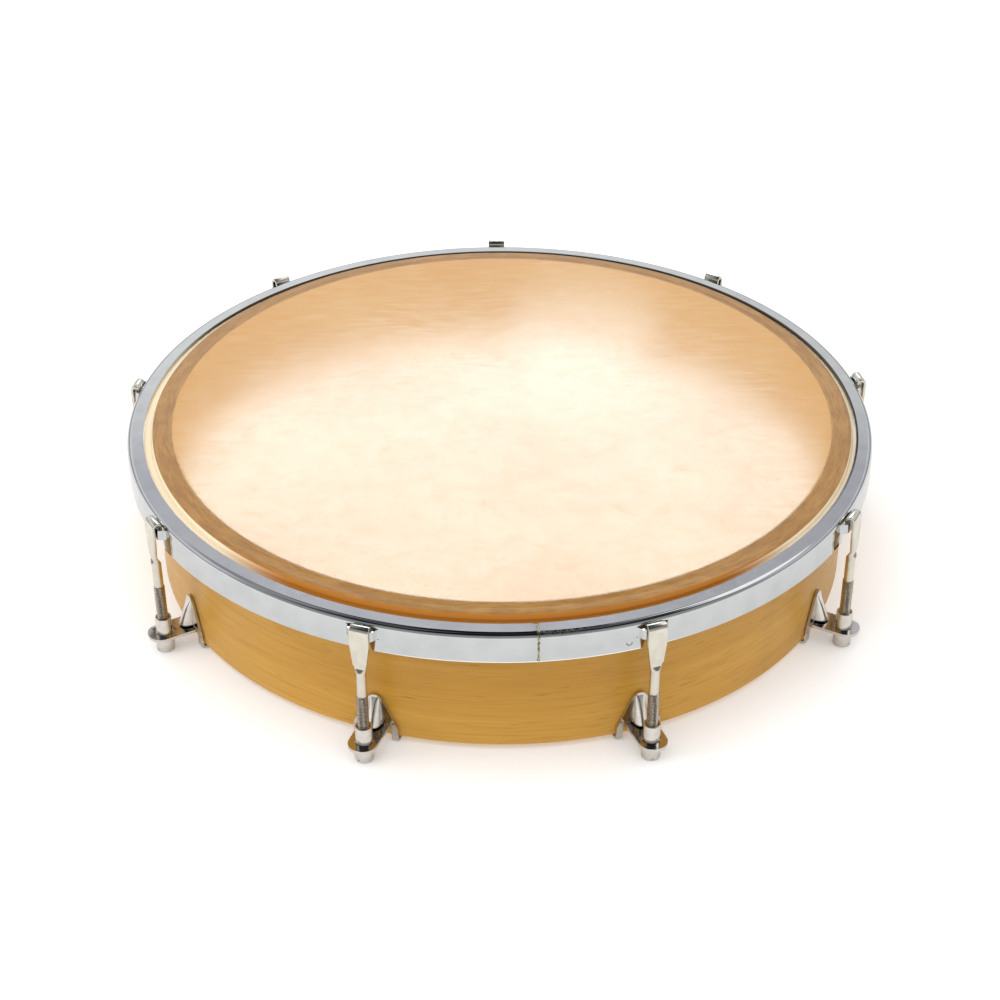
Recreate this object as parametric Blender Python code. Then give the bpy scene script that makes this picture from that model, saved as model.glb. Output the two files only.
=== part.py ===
"""A 13 inch tunable frame drum: wooden shell, natural skin head, steel counter hoop, nine claw hooks.

Metres, +Z up. The origin is the centre of the playing face. Heights in the constants are measured
up from the bottom edge of the wooden shell, and the empty drum_axis lowers the whole model so that
the playing face comes to height zero. At each of the nine tuning stations a station empty turns the
local frame: X runs along the rim, Y points out from the drum's axis.
"""
import math

import bmesh
import bpy
from mathutils import Matrix

# Driving dimensions, in metres.
STATIONS = 9
RING_SEGMENTS = 72
GAP = 0.0003                     # air kept between touching pieces

SHELL_RADIUS = 0.1640
SHELL_WALL = 0.0088
SHELL_HEIGHT = 0.0690
SHELL_EDGE = 0.0010              # rounding of the shell's edges

SKIN_THICKNESS = 0.0005
SKIN_FLAT_RADIUS = 0.1540        # the skin is one flat disc out to here

HOOP_RADIUS = 0.1750
HOOP_SHEET = 0.0013
HOOP_TOP = 0.0672
HOOP_BOTTOM = 0.0531
HOOP_FLANGE_RADIUS = 0.1673
HOOP_CORNER = 0.0022             # outer bend radius between band and flange

FLESH_WIDTH = 0.0063
FLESH_HEIGHT = 0.0059

EAR_BULGE = 0.00295              # how far a hook's loop stands out of the band
EAR_HALF_FLAT = 0.0046
EAR_HALF_WIDTH = 0.0072
EAR_BOTTOM = 0.0596
EAR_TOP = 0.0646
WINDOW_HALF_WIDTH = 0.0062
WINDOW_TOP = 0.0650
NOTCH_TOP_HALF = 0.0026
NOTCH_BOTTOM_HALF = 0.0043

ROD_AXIS = 0.1786                # distance of a tension rod from the drum's axis
ROD_RADIUS = 0.0025               # over the rolled M5 thread
SHANK_RADIUS = 0.0022             # above the thread
THREAD_TOP = 0.0317
ROD_BOTTOM = 0.0010
ROD_TOP = 0.0440

CLAW_HALF_WIDTH = 0.0043
CLAW_SHEET = 0.0014
CLAW_FACE = 0.18015              # outer face of the claw's flat plate
CLAW_BEND_HEIGHT = 0.0642
CLAW_BEND_INSIDE = 0.0012
CLAW_TIP_SHEET = 0.0010
CLAW_TIP_BOTTOM = 0.0609
CLAW_NECK_BOTTOM = 0.0430
CLAW_NECK_TOP = 0.0468
CLAW_TAPER_TOP = 0.0570
CLAW_NECK_HALF = 0.0030

NUT_BARREL_RADIUS = 0.0037
NUT_HEAD_RADIUS = 0.0041
NUT_TOP = 0.0149
NUT_BOTTOM = -0.0030
NUT_BORE_RADIUS = 0.0028
NUT_BORE_BOTTOM = -0.0003
NUT_SLOT_WIDTH = 0.0012
NUT_SLOT_DEPTH = 0.0015

BRACKET_SHEET = 0.0012
BRACKET_HALF_WIDTH = 0.0102
BRACKET_TOP = 0.0214
BRACKET_TOP_ROUND = 0.0036
BRACKET_SHOULDER = 0.0045        # height where the slanting sides turn vertical
BRACKET_WING_BOTTOM = -0.0024
BRACKET_WING_INSIDE = 0.0073
BRACKET_RELIEF_TOP = 0.0076      # top of the slits beside the tongue
FOOT_INSIDE = 0.1602             # radius that the feet reach under the shell
FOOT_SHEET = 0.0011

TONGUE_BOTTOM = 0.0050
TONGUE_SHEET = 0.0015
TONGUE_HALF_WIDTH = 0.0064
TONGUE_END = 0.1862
TONGUE_END_ROUND = 0.0060
TONGUE_HOLE_RADIUS = 0.00405

RIB_BOTTOM = 0.0070
RIB_TOP = 0.0203
RIB_BOTTOM_HALF = 0.0036
RIB_TOP_HALF = 0.0022
RIB_BOTTOM_DEPTH = 0.0056
RIB_TOP_DEPTH = 0.0010
RIB_STEPS = 6

SCREW_HEIGHT = 0.0130
SCREW_RADIUS = 0.0015
SCREW_HOLE_RADIUS = 0.0018
SCREW_END = 0.1680
SCREW_HEAD_RADIUS = 0.0032
SCREW_HEAD_HEIGHT = 0.0022
SCREW_SLOT_WIDTH = 0.0008
SCREW_SLOT_DEPTH = 0.0010
WASHER_RADIUS = 0.0045
WASHER_SHEET = 0.0008

# Worked out from the driving dimensions.
SHELL_INSIDE = SHELL_RADIUS - SHELL_WALL
SKIN_UNDER = SHELL_HEIGHT + GAP
PLAYING_HEIGHT = SKIN_UNDER + SKIN_THICKNESS
BAND_INSIDE = HOOP_RADIUS - HOOP_SHEET
FLANGE_UNDER = HOOP_TOP - HOOP_SHEET
COLLAR_TOP = FLANGE_UNDER - GAP               # the skin's collar on the flesh hoop
COLLAR_UNDER = COLLAR_TOP - SKIN_THICKNESS
COLLAR_OUTSIDE = BAND_INSIDE - 0.0008
FLESH_TOP = COLLAR_UNDER - GAP
FLESH_OUTSIDE = COLLAR_OUTSIDE - SKIN_THICKNESS - GAP
TONGUE_TOP = TONGUE_BOTTOM + TONGUE_SHEET
BRACKET_BACK = SHELL_RADIUS + GAP
BRACKET_FACE = BRACKET_BACK + BRACKET_SHEET
WASHER_FACE = SHELL_INSIDE - 0.0005           # clears the shell's hollow curve
WASHER_BACK = WASHER_FACE - WASHER_SHEET


def material(name, color, roughness, metallic):
    """A plain Principled material."""
    made = bpy.data.materials.new(name)
    made.use_nodes = True
    shader = made.node_tree.nodes["Principled BSDF"]
    shader.inputs["Base Color"].default_value = (*color, 1.0)
    shader.inputs["Roughness"].default_value = roughness
    shader.inputs["Metallic"].default_value = metallic
    return made


def arc(centre, radius, start, end, steps):
    """Points on a circular arc, with the angles in degrees; both ends are included."""
    points = []
    for step in range(steps + 1):
        angle = math.radians(start + (end - start) * step / steps)
        points.append((centre[0] + radius * math.cos(angle), centre[1] + radius * math.sin(angle)))
    return points


def finished_mesh(name, bm):
    """Turn a bmesh into a mesh with outward normals, smooth where its faces nearly meet."""
    bmesh.ops.recalc_face_normals(bm, faces=bm.faces)
    mesh = bpy.data.meshes.new(name)
    bm.to_mesh(mesh)
    bm.free()
    mesh.shade_smooth()
    mesh.set_sharp_from_angle(angle=math.radians(35))
    return mesh


def turned(name, profile, segments, ring):
    """Turn (radius, height) points about Z: a closed loop when ring is set, else capped at both ends.

    The first flat is centred on Y, so that a flat, not a corner, faces each station.
    """
    bm = bmesh.new()
    loops = []
    for radius, height in profile:
        loop = []
        for step in range(segments):
            angle = math.pi / 2 + 2 * math.pi * (step + 0.5) / segments
            loop.append(bm.verts.new((radius * math.cos(angle), radius * math.sin(angle), height)))
        loops.append(loop)
    pairs = list(zip(loops, loops[1:]))
    if ring:
        pairs.append((loops[-1], loops[0]))
    else:
        bm.faces.new(loops[0])
        bm.faces.new(loops[-1])
    for first, second in pairs:
        for step in range(segments):
            after = (step + 1) % segments
            bm.faces.new((first[step], first[after], second[after], second[step]))
    return finished_mesh(name, bm)


def extruded(name, outline, low, high, place):
    """Extrude a closed outline from low to high; place maps (u, v, w) to a point, w along the sweep."""
    bm = bmesh.new()
    near = [bm.verts.new(place(u, v, low)) for u, v in outline]
    far = [bm.verts.new(place(u, v, high)) for u, v in outline]
    bm.faces.new(near)
    bm.faces.new(far)
    for index in range(len(outline)):
        after = (index + 1) % len(outline)
        bm.faces.new((near[index], near[after], far[after], far[index]))
    return finished_mesh(name, bm)


def along_rim(u, v, w):
    """Outline in (out, up), swept along the rim."""
    return (w, u, v)


def outward(u, v, w):
    """Outline in (along the rim, up), swept outward."""
    return (u, w, v)


def upward(u, v, w):
    """Outline in (along the rim, out), swept upward."""
    return (u, v, w)


def combined(target, other, operation):
    """The mesh that a Boolean of two meshes makes; both are used up."""
    target_object = bpy.data.objects.new("boolean_target", target)
    other_object = bpy.data.objects.new("boolean_other", other)
    for item in (target_object, other_object):
        bpy.context.scene.collection.objects.link(item)
    boolean = target_object.modifiers.new("boolean", "BOOLEAN")
    boolean.operation = operation
    boolean.solver = "EXACT"
    boolean.object = other_object
    evaluated = target_object.evaluated_get(bpy.context.evaluated_depsgraph_get())
    result = bpy.data.meshes.new_from_object(evaluated)
    for item in (target_object, other_object):
        bpy.data.objects.remove(item)
    result.shade_smooth()
    result.set_sharp_from_angle(angle=math.radians(35))
    return result


def station_angle(station):
    return 360.0 * station / STATIONS


def at_station(mesh, station):
    """Turn a mesh about the drum's axis to one of the stations."""
    mesh.transform(Matrix.Rotation(math.radians(station_angle(station)), 4, "Z"))
    return mesh


def add_object(name, mesh, finish, parent, location=(0.0, 0.0, 0.0)):
    """Link one named piece under its parent empty."""
    if not mesh.materials:
        mesh.materials.append(finish)
    piece = bpy.data.objects.new(name, mesh)
    piece.parent = parent
    piece.location = location
    bpy.context.scene.collection.objects.link(piece)
    return piece


def add_empty(name, parent=None, height=0.0, turn_degrees=0.0):
    empty = bpy.data.objects.new(name, None)
    empty.parent = parent
    empty.location = (0.0, 0.0, height)
    empty.rotation_euler = (0.0, 0.0, math.radians(turn_degrees))
    bpy.context.scene.collection.objects.link(empty)
    return empty


def radial_pin(name, radius, start, end, height, sides=10):
    """A cylinder lying along the station's Y axis."""
    outline = arc((0.0, height), radius, 0.0, 360.0 * (sides - 1) / sides, sides - 1)
    return extruded(name, outline, start, end, outward)


def upright_pin(name, radius, low, high, sides=12):
    """A cylinder standing at the origin."""
    return turned(name, [(radius, low), (radius, high)], sides, ring=False)


def shell_mesh():
    """The wooden shell, with one screw hole behind each bracket."""
    edge = SHELL_EDGE
    profile = [
        (SHELL_RADIUS - edge, 0.0),
        (SHELL_RADIUS, edge),
        (SHELL_RADIUS, SHELL_HEIGHT - 1.5 * edge),
        (SHELL_RADIUS - 0.4 * edge, SHELL_HEIGHT - 0.4 * edge),
        (SHELL_RADIUS - 1.5 * edge, SHELL_HEIGHT),
        (SHELL_INSIDE + edge, SHELL_HEIGHT),
        (SHELL_INSIDE, SHELL_HEIGHT - edge),
        (SHELL_INSIDE, edge),
        (SHELL_INSIDE + edge, 0.0),
    ]
    mesh = turned("shell", profile, RING_SEGMENTS, ring=True)
    for station in range(STATIONS):
        drill = radial_pin("drill", SCREW_HOLE_RADIUS, SHELL_INSIDE - 0.002, SHELL_RADIUS + 0.002, SCREW_HEIGHT)
        mesh = combined(mesh, at_station(drill, station), "DIFFERENCE")
    return mesh


def skin_mesh():
    """The skin: flat field, bend over the shell's edge, collar over the flesh hoop and down its outside."""
    outside = SHELL_RADIUS + GAP
    sheet = SKIN_THICKNESS
    over = [
        (SKIN_FLAT_RADIUS, PLAYING_HEIGHT),
        (SHELL_RADIUS - 0.0014, PLAYING_HEIGHT),
        (SHELL_RADIUS + 0.0004, PLAYING_HEIGHT - 0.0006),
        (outside + sheet, PLAYING_HEIGHT - 0.0022),
        (outside + sheet, COLLAR_TOP + 0.0008),
        (outside + 0.0014, COLLAR_TOP),
        (COLLAR_OUTSIDE, COLLAR_TOP),
        (COLLAR_OUTSIDE, FLESH_TOP - FLESH_HEIGHT),
    ]
    under = [
        (COLLAR_OUTSIDE - sheet, FLESH_TOP - FLESH_HEIGHT),
        (COLLAR_OUTSIDE - sheet, COLLAR_UNDER),
        (outside + 0.0014, COLLAR_UNDER),
        (outside, COLLAR_UNDER + 0.0012),
        (outside, PLAYING_HEIGHT - 0.0022),
        (SHELL_RADIUS - 0.0001, SKIN_UNDER - 0.0003),
        (SHELL_RADIUS - 0.0015, SKIN_UNDER),
        (SKIN_FLAT_RADIUS, SKIN_UNDER),
    ]
    return turned("skin_head", over + under, RING_SEGMENTS, ring=False)


def flesh_hoop_mesh():
    """The hoop that the skin is lapped on."""
    inside = FLESH_OUTSIDE - FLESH_WIDTH
    bottom = FLESH_TOP - FLESH_HEIGHT
    profile = [(inside, bottom), (FLESH_OUTSIDE, bottom), (FLESH_OUTSIDE, FLESH_TOP), (inside, FLESH_TOP)]
    return turned("flesh_hoop", profile, RING_SEGMENTS, ring=True)


def ear_mesh():
    """A loop of the band pressed outward, which a hook's claw pulls down on."""
    steps = 3
    half_points = [(0.0, EAR_BULGE), (EAR_HALF_FLAT, EAR_BULGE)]
    for step in range(1, steps + 1):
        share = step / steps
        bulge = EAR_BULGE * (1.0 + math.cos(math.pi * share)) / 2
        half_points.append((EAR_HALF_FLAT + (EAR_HALF_WIDTH - EAR_HALF_FLAT) * share, bulge))
    front = [(-x, HOOP_RADIUS + bulge) for x, bulge in reversed(half_points)]
    front += [(x, HOOP_RADIUS + bulge) for x, bulge in half_points[1:]]
    sink = 0.0004                # the ends run into the band, which curves away from the loop's chord
    outer = [(x, y - sink * (abs(x) / EAR_HALF_WIDTH) ** 4) for x, y in front]
    inner = [(x, y - HOOP_SHEET) for x, y in reversed(front)]
    return extruded("ear", outer + inner, EAR_BOTTOM, EAR_TOP, upward)


def window_mesh():
    """The opening behind an ear and the notch below it."""
    below = HOOP_BOTTOM - 0.001
    outline = [
        (-WINDOW_HALF_WIDTH, WINDOW_TOP), (WINDOW_HALF_WIDTH, WINDOW_TOP),
        (WINDOW_HALF_WIDTH, EAR_BOTTOM - GAP), (NOTCH_TOP_HALF, EAR_BOTTOM - GAP),
        (NOTCH_BOTTOM_HALF, below), (-NOTCH_BOTTOM_HALF, below),
        (-NOTCH_TOP_HALF, EAR_BOTTOM - GAP), (-WINDOW_HALF_WIDTH, EAR_BOTTOM - GAP),
    ]
    return extruded("window", outline, BAND_INSIDE - 0.002, HOOP_RADIUS + 0.002, outward)


def counter_hoop_mesh():
    """The L-section steel hoop, with a window, a notch and an ear at each station."""
    corner = arc((HOOP_RADIUS - HOOP_CORNER, HOOP_TOP - HOOP_CORNER), HOOP_CORNER, 0.0, 90.0, 3)
    lip = 0.4 * HOOP_SHEET
    profile = [(HOOP_RADIUS, HOOP_BOTTOM)] + corner + [
        (HOOP_FLANGE_RADIUS + lip, HOOP_TOP),
        (HOOP_FLANGE_RADIUS, HOOP_TOP - lip),
        (HOOP_FLANGE_RADIUS, FLANGE_UNDER + lip / 2),
        (HOOP_FLANGE_RADIUS + lip / 2, FLANGE_UNDER),
        (BAND_INSIDE - 0.0008, FLANGE_UNDER),
        (BAND_INSIDE, FLANGE_UNDER - 0.0008),
        (BAND_INSIDE, HOOP_BOTTOM),
    ]
    mesh = turned("counter_hoop", profile, RING_SEGMENTS, ring=True)
    for station in range(STATIONS):
        mesh = combined(mesh, at_station(window_mesh(), station), "DIFFERENCE")
        mesh = combined(mesh, at_station(ear_mesh(), station), "UNION")
    return mesh


def hook_mesh():
    """A tension hook, with its rod on the local Z axis: flat claw on top, round rod below."""
    face = CLAW_FACE - ROD_AXIS
    back = face - CLAW_SHEET
    bend = (back - CLAW_BEND_INSIDE, CLAW_BEND_HEIGHT)
    tip_face = bend[0] - CLAW_BEND_INSIDE
    tip_back = tip_face - CLAW_TIP_SHEET
    side = [(face, CLAW_NECK_BOTTOM)]
    side += arc(bend, face - bend[0], 0.0, 120.0, 4)
    side += [(tip_back, CLAW_BEND_HEIGHT), (tip_back, CLAW_TIP_BOTTOM), (tip_face, CLAW_TIP_BOTTOM)]
    side += arc(bend, CLAW_BEND_INSIDE, 180.0, 0.0, 4)
    side += [(back, CLAW_NECK_BOTTOM)]
    front = [
        (SHANK_RADIUS, CLAW_NECK_BOTTOM - 0.001), (CLAW_NECK_HALF, CLAW_NECK_TOP),
        (CLAW_HALF_WIDTH, CLAW_TAPER_TOP), (CLAW_HALF_WIDTH, HOOP_TOP + 0.003),
    ]
    front += [(-x, z) for x, z in reversed(front)]
    plate = extruded("claw", side, -2 * CLAW_HALF_WIDTH, 2 * CLAW_HALF_WIDTH, along_rim)
    blank = extruded("blank", front, -0.010, 0.010, outward)
    claw = combined(plate, blank, "INTERSECT")
    step = ROD_RADIUS - SHANK_RADIUS
    profile = [(SHANK_RADIUS, ROD_BOTTOM), (ROD_RADIUS, ROD_BOTTOM + step),
               (ROD_RADIUS, THREAD_TOP - step), (SHANK_RADIUS, THREAD_TOP),
               (SHANK_RADIUS, ROD_TOP), (0.6 * SHANK_RADIUS, CLAW_NECK_TOP - 0.0004)]
    return combined(turned("rod", profile, 12, ring=False), claw, "UNION")


def nut_mesh():
    """A sleeve nut on the local Z axis: barrel through the bracket's tongue, slotted head below it."""
    head_top = TONGUE_BOTTOM - GAP
    chamfer = 0.0004
    profile = [
        (NUT_HEAD_RADIUS - chamfer, NUT_BOTTOM), (NUT_HEAD_RADIUS, NUT_BOTTOM + chamfer),
        (NUT_HEAD_RADIUS, head_top), (NUT_BARREL_RADIUS, head_top),
        (NUT_BARREL_RADIUS, NUT_TOP - chamfer), (NUT_BARREL_RADIUS - chamfer, NUT_TOP),
    ]
    mesh = turned("nut", profile, 14, ring=False)
    mesh = combined(mesh, upright_pin("bore", NUT_BORE_RADIUS, NUT_BORE_BOTTOM, NUT_TOP + 0.001), "DIFFERENCE")
    half = NUT_SLOT_WIDTH / 2
    outline = [(-half, -0.006), (half, -0.006), (half, 0.006), (-half, 0.006)]
    slot = extruded("slot", outline, NUT_BOTTOM - 0.001, NUT_BOTTOM + NUT_SLOT_DEPTH, upward)
    return combined(mesh, slot, "DIFFERENCE")


def bracket_plate_mesh():
    """The bracket's plate: arched top, slanting sides, a wing each side of the tongue."""
    start = 24.0                 # degrees above level where the arch meets the slanting side
    half = [(TONGUE_HALF_WIDTH + 0.0001, TONGUE_BOTTOM),
            (TONGUE_HALF_WIDTH + 0.0001, BRACKET_RELIEF_TOP),
            (BRACKET_WING_INSIDE, BRACKET_RELIEF_TOP),
            (BRACKET_WING_INSIDE, BRACKET_WING_BOTTOM),
            (BRACKET_HALF_WIDTH, BRACKET_WING_BOTTOM),
            (BRACKET_HALF_WIDTH, BRACKET_SHOULDER)]
    arch = arc((0.0, BRACKET_TOP - BRACKET_TOP_ROUND), BRACKET_TOP_ROUND, start, 180.0 - start, 4)
    outline = half + arch + [(-x, z) for x, z in reversed(half)]
    return extruded("plate", outline, BRACKET_BACK, BRACKET_FACE, outward)


def bracket_tongue_mesh():
    """The tongue that carries the nut, with its hole."""
    corner_x = TONGUE_HALF_WIDTH - TONGUE_END_ROUND
    corner_y = TONGUE_END - TONGUE_END_ROUND
    right = arc((corner_x, corner_y), TONGUE_END_ROUND, 0.0, 90.0, 3)
    outline = [(TONGUE_HALF_WIDTH, BRACKET_BACK)] + right
    outline += [(-x, y) for x, y in reversed(outline)]
    tongue = extruded("tongue", outline, TONGUE_BOTTOM, TONGUE_TOP, upward)
    hole = upright_pin("hole", TONGUE_HOLE_RADIUS, TONGUE_BOTTOM - 0.001, TONGUE_TOP + 0.001)
    hole.transform(Matrix.Translation((0.0, ROD_AXIS, 0.0)))
    return combined(tongue, hole, "DIFFERENCE")


def bracket_rib_mesh():
    """The half-round rib, which grows from the top of the plate down to the tongue."""
    bm = bmesh.new()
    root = BRACKET_FACE - BRACKET_SHEET / 2
    loops = []
    for height, half, depth in ((RIB_BOTTOM, RIB_BOTTOM_HALF, RIB_BOTTOM_DEPTH),
                                (RIB_TOP, RIB_TOP_HALF, RIB_TOP_DEPTH)):
        loop = [bm.verts.new((half, root, height))]
        for step in range(RIB_STEPS + 1):
            angle = math.pi * step / RIB_STEPS
            loop.append(bm.verts.new((half * math.cos(angle), BRACKET_FACE + depth * math.sin(angle), height)))
        loop.append(bm.verts.new((-half, root, height)))
        loops.append(loop)
    count = len(loops[0])
    bm.faces.new(loops[0])
    bm.faces.new(loops[1])
    for index in range(count):
        after = (index + 1) % count
        bm.faces.new((loops[0][index], loops[0][after], loops[1][after], loops[1][index]))
    return finished_mesh("rib", bm)


def bracket_mesh():
    """A pressed bracket: plate, rib, tongue and two feet hooked under the shell."""
    mesh = combined(bracket_plate_mesh(), bracket_tongue_mesh(), "UNION")
    mesh = combined(mesh, bracket_rib_mesh(), "UNION")
    for side in (-1, 1):
        ends = sorted((side * BRACKET_WING_INSIDE, side * BRACKET_HALF_WIDTH))
        outline = [(ends[0], FOOT_INSIDE), (ends[1], FOOT_INSIDE), (ends[1], BRACKET_FACE), (ends[0], BRACKET_FACE)]
        foot = extruded("foot", outline, BRACKET_WING_BOTTOM, BRACKET_WING_BOTTOM + FOOT_SHEET, upward)
        mesh = combined(mesh, foot, "UNION")
    tapping = radial_pin("tapping", SCREW_HOLE_RADIUS, BRACKET_BACK - 0.001, SCREW_END + GAP, SCREW_HEIGHT)
    return combined(mesh, tapping, "DIFFERENCE")


def screw_mesh():
    """The slotted screw that holds a bracket, driven from inside the shell."""
    head_back = WASHER_BACK - GAP
    head_face = head_back - SCREW_HEAD_HEIGHT
    head = radial_pin("head", SCREW_HEAD_RADIUS, head_face, head_back, SCREW_HEIGHT)
    shank = radial_pin("shank", SCREW_RADIUS, head_back - 0.001, SCREW_END, SCREW_HEIGHT)
    mesh = combined(head, shank, "UNION")
    half = SCREW_SLOT_WIDTH / 2
    outline = [(-0.005, SCREW_HEIGHT - half), (0.005, SCREW_HEIGHT - half),
               (0.005, SCREW_HEIGHT + half), (-0.005, SCREW_HEIGHT + half)]
    slot = extruded("slot", outline, head_face - 0.001, head_face + SCREW_SLOT_DEPTH, outward)
    return combined(mesh, slot, "DIFFERENCE")


def washer_mesh():
    """The flat washer under the screw's head."""
    disc = radial_pin("washer", WASHER_RADIUS, WASHER_BACK, WASHER_FACE, SCREW_HEIGHT, sides=12)
    hole = radial_pin("hole", SCREW_HOLE_RADIUS, WASHER_BACK - 0.001, WASHER_FACE + 0.001, SCREW_HEIGHT)
    return combined(disc, hole, "DIFFERENCE")


def build_rings(drum):
    """The four pieces that run right round the drum."""
    wood = material("maple_shell", (0.60, 0.37, 0.14), 0.38, 0.0)
    skin = material("natural_skin", (0.90, 0.74, 0.52), 0.45, 0.0)
    ash = material("flesh_hoop_wood", (0.62, 0.45, 0.26), 0.6, 0.0)
    chrome = material("hoop_chrome", (0.80, 0.81, 0.82), 0.12, 1.0)
    add_object("shell", shell_mesh(), wood, drum)
    add_object("skin_head", skin_mesh(), skin, drum)
    add_object("flesh_hoop", flesh_hoop_mesh(), ash, drum)
    add_object("counter_hoop", counter_hoop_mesh(), chrome, drum)


def build_stations(drum):
    """Hook, nut, bracket, screw and washer at each of the nine stations."""
    claw = material("hook_nickel", (0.74, 0.71, 0.66), 0.22, 1.0)
    brass = material("nut_nickel", (0.78, 0.76, 0.70), 0.25, 1.0)
    steel = material("bracket_nickel", (0.66, 0.64, 0.61), 0.18, 1.0)
    zinc = material("screw_zinc", (0.60, 0.60, 0.58), 0.35, 1.0)
    shared = {
        "hook": (hook_mesh(), claw, (0.0, ROD_AXIS, 0.0)),
        "nut": (nut_mesh(), brass, (0.0, ROD_AXIS, 0.0)),
        "bracket": (bracket_mesh(), steel, (0.0, 0.0, 0.0)),
        "bracket_screw": (screw_mesh(), zinc, (0.0, 0.0, 0.0)),
        "screw_washer": (washer_mesh(), zinc, (0.0, 0.0, 0.0)),
    }
    for station in range(STATIONS):
        turn = add_empty(f"station_{station + 1}", drum, turn_degrees=station_angle(station))
        for kind, (mesh, finish, location) in shared.items():
            add_object(f"{kind}_{station + 1}", mesh, finish, turn, location)


def main():
    for item in list(bpy.data.objects):
        bpy.data.objects.remove(item)
    drum = add_empty("drum_axis", height=-PLAYING_HEIGHT)
    build_rings(drum)
    build_stations(drum)


main()
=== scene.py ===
"""Looks for the nine-station frame drum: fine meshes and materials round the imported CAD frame.

Metres, +Z up, origin at the centre of the playing face. Heights in the code are measured up from
the bottom edge of the wooden shell; raised() turns one into a world height. In a station's own
frame X runs along the rim and Y points out from the drum's axis.
"""

import math
import random

import bmesh
import bpy
from mathutils import Matrix, noise


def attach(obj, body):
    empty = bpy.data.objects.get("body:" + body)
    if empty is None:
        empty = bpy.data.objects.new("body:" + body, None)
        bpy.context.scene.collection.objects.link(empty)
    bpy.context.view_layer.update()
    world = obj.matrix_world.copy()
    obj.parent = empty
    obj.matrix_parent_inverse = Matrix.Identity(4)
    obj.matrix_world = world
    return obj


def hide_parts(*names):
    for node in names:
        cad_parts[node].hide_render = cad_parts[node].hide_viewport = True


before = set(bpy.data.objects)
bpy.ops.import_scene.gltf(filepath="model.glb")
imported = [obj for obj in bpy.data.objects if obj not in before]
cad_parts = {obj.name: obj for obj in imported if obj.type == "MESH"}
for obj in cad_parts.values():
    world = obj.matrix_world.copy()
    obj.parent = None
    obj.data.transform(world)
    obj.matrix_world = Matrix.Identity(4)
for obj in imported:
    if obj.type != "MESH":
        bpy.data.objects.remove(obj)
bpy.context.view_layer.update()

# The CAD part's dimensions that the fine meshes repeat, in metres.
STATIONS = 9
PLAYING_HEIGHT = 0.0698
GAP = 0.0003
SHELL_RADIUS = 0.1640
SHELL_INSIDE = 0.1552
SHELL_HEIGHT = 0.0690
SHELL_TOP_ROUND = 0.0015
SKIN = 0.0005
HOOP_RADIUS = 0.1750
HOOP_SHEET = 0.0013
HOOP_TOP = 0.0672
HOOP_BOTTOM = 0.0531
HOOP_CORNER = 0.0025
FLANGE_INSIDE = 0.1673
COLLAR_TOP = 0.0656
COLLAR_OUTSIDE = 0.1729
FLESH_OUTSIDE = 0.1721
FLESH_WIDTH = 0.0063
FLESH_HEIGHT = 0.0059
EAR_BULGE = 0.00295
ROD_AXIS = 0.1786
ROD_RADIUS = 0.0025
SHANK_RADIUS = 0.0022
THREAD_TOP = 0.0317
CLAW_FACE = 0.18015
CLAW_SHEET = 0.0014
CLAW_TIP_SHEET = 0.0010
CLAW_HALF = 0.0043
CLAW_BEND_HEIGHT = 0.0642
CLAW_BEND_INSIDE = 0.0012
CLAW_TIP_BOTTOM = 0.0609
NUT_BARREL = 0.0037
NUT_HEAD = 0.0041
NUT_TOP = 0.0149
NUT_BOTTOM = -0.0030
NUT_BORE = 0.0028
BRACKET_BACK = 0.1643
BRACKET_FACE = 0.1655
BRACKET_SHEET = 0.0012
TONGUE_BOTTOM = 0.0050
TONGUE_TOP = 0.0065
TONGUE_HALF = 0.0064
TONGUE_END = 0.1862
SCREW_HEIGHT = 0.0130

# The hoop is drawn down furthest at the front (-Y); it rises this much per metre of Y and of X.
HOOP_SLOPE_Y, HOOP_SLOPE_X = 0.0025, 0.0015
# It also sits a hair to the left of the shell and bows outwards on that side, over this many radians.
HOOP_SHIFT = -0.0003
HOOP_BOW, BOW_SPREAD = 0.0013, 0.80
# Each claw's extra height and outward lean, from the back station on; it leans from HOOK_PIVOT upwards.
HOOK_SLACK = (0.0018, 0.0020, 0.0, 0.0008, 0.0, 0.0, 0.0008, 0.0010, 0.0018)
HOOK_LEAN = (0.0, 0.0, 0.0004, 0.0, 0.0, 0.0, 0.0, 0.0, 0.0)
HOOK_PIVOT, HOOK_REACH = 0.0060, 0.0560


def raised(height):
    return height - PLAYING_HEIGHT


def bowed(angle):
    """The hoop is a little out of round: this far outwards, most of it on the left."""
    return HOOP_BOW * math.exp(-(math.remainder(angle - math.pi, 2 * math.pi) / BOW_SPREAD) ** 2)


def settled(x, y):
    """How far the hoop, its hooks and the skin's collar sit above their lowest place, in front."""
    return HOOP_SLOPE_Y * (y + HOOP_RADIUS) + HOOP_SLOPE_X * x


def smooth(value):
    """0 below 0, 1 above 1, and a smooth step between."""
    value = min(1.0, max(0.0, value))
    return value * value * (3.0 - 2.0 * value)


def arc(centre, radius, start, end, steps):
    """Points on a circular arc, with the angles in degrees; both ends are included."""
    points = []
    for step in range(steps + 1):
        angle = math.radians(start + (end - start) * step / steps)
        points.append((centre[0] + radius * math.cos(angle), centre[1] + radius * math.sin(angle)))
    return points


# ---------------------------------------------------------------- meshes

def finished(name, bm, sharp):
    """The bmesh as a smooth-shaded mesh whose edges over the sharp angle stay sharp."""
    bmesh.ops.recalc_face_normals(bm, faces=bm.faces)
    mesh = bpy.data.meshes.new(name)
    bm.to_mesh(mesh)
    bm.free()
    mesh.shade_smooth()
    mesh.set_sharp_from_angle(angle=math.radians(sharp))
    return mesh


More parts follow.
